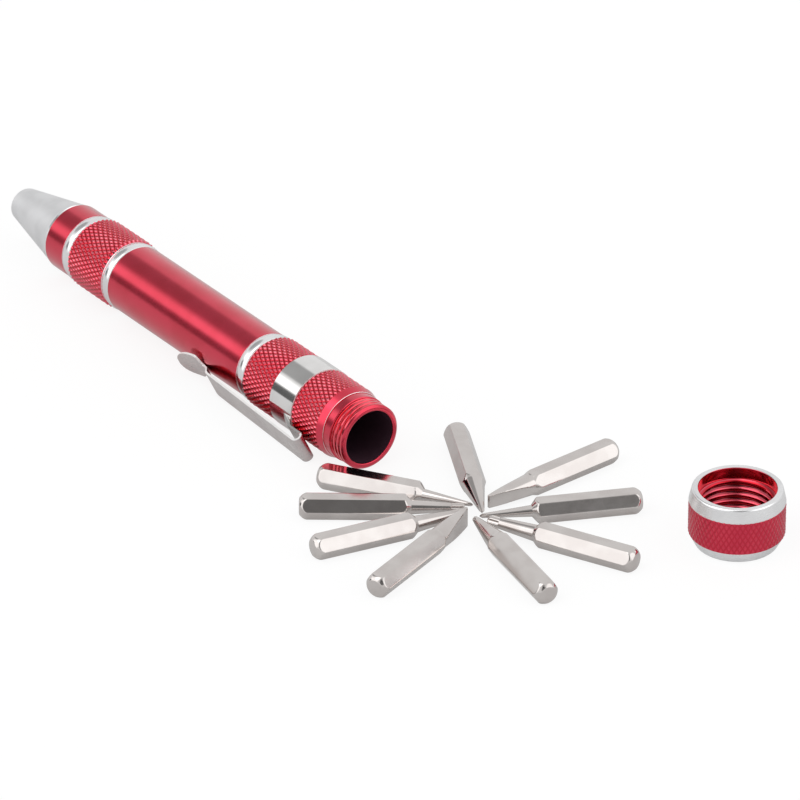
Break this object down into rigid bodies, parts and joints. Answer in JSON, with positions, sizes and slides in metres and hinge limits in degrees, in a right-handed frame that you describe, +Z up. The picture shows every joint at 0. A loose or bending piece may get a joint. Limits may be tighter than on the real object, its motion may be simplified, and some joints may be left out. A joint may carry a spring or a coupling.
{
  "type": "pocket screwdriver",
  "caption": "Pen-shaped pocket screwdriver with a hexagon socket, a pocket clip, a hollow knurled barrel for its bits and a screw cap, with the cap off and the bits laid out in a fan.",
  "frame": {"origin": "middle of the ground that the laid-out set covers, at table height", "axes": "+X along the pen's axis from its open mouth to its nose, +Y to the side that the clip is on, +Z up from the table"},
  "size_m": [0.1688, 0.0692, 0.0133],
  "materials": {
    "red_aluminium": "red anodised, glossy, with bright turned rings",
    "nose_metal": "satin turned",
    "magnet_metal": "nickel plated",
    "clip_steel": "satin",
    "bit_steel": "polished nickel"
  },
  "bodies": {
    "pen": {"barrel": "red_aluminium", "nose_cone": "nose_metal", "socket_magnet": "magnet_metal", "clip_band": "clip_steel"},
    "clip": {"clip_arm": "clip_steel"},
    "cap": {"cap": "red_aluminium"},
    "cross_bit_fine": {"cross_bit_fine": "bit_steel"},
    "star_bit_small": {"star_bit_small": "bit_steel"},
    "star_bit_medium": {"star_bit_medium": "bit_steel"},
    "slotted_bit_wide": {"slotted_bit_wide": "bit_steel"},
    "cross_bit_medium": {"cross_bit_medium": "bit_steel"},
    "slotted_bit_medium": {"slotted_bit_medium": "bit_steel"},
    "cross_bit_small": {"cross_bit_small": "bit_steel"},
    "star_bit_large": {"star_bit_large": "bit_steel"},
    "cross_bit_large": {"cross_bit_large": "bit_steel"}
  },
  "joints": [
    {"name": "clip_flex", "type": "hinge", "parent": "pen", "child": "clip", "pos_m": [-0.01127, 0.01685, 0.00303], "axis": [0, 0.4364, 0.8998], "range_deg": [0, 4], "stiffness_Nm_per_rad": 0.8, "springref_deg": -2.86},
    {"name": "cap_lift", "type": "slide", "parent": "pen", "child": "cap", "axis": [0, 0, 1], "range_m": [0, 0.03]},
    {"name": "cross_bit_fine_lift", "type": "slide", "parent": "pen", "child": "cross_bit_fine", "axis": [0, 0, 1], "range_m": [0, 0.02]},
    {"name": "star_bit_small_lift", "type": "slide", "parent": "pen", "child": "star_bit_small", "axis": [0, 0, 1], "range_m": [0, 0.02]},
    {"name": "star_bit_medium_lift", "type": "slide", "parent": "pen", "child": "star_bit_medium", "axis": [0, 0, 1], "range_m": [0, 0.02]},
    {"name": "slotted_bit_wide_lift", "type": "slide", "parent": "pen", "child": "slotted_bit_wide", "axis": [0, 0, 1], "range_m": [0, 0.02]},
    {"name": "cross_bit_medium_lift", "type": "slide", "parent": "pen", "child": "cross_bit_medium", "axis": [0, 0, 1], "range_m": [0, 0.02]},
    {"name": "slotted_bit_medium_lift", "type": "slide", "parent": "pen", "child": "slotted_bit_medium", "axis": [0, 0, 1], "range_m": [0, 0.02]},
    {"name": "cross_bit_small_lift", "type": "slide", "parent": "pen", "child": "cross_bit_small", "axis": [0, 0, 1], "range_m": [0, 0.02]},
    {"name": "star_bit_large_lift", "type": "slide", "parent": "pen", "child": "star_bit_large", "axis": [0, 0, 1], "range_m": [0, 0.02]},
    {"name": "cross_bit_large_lift", "type": "slide", "parent": "pen", "child": "cross_bit_large", "axis": [0, 0, 1], "range_m": [0, 0.02]}
  ]
}
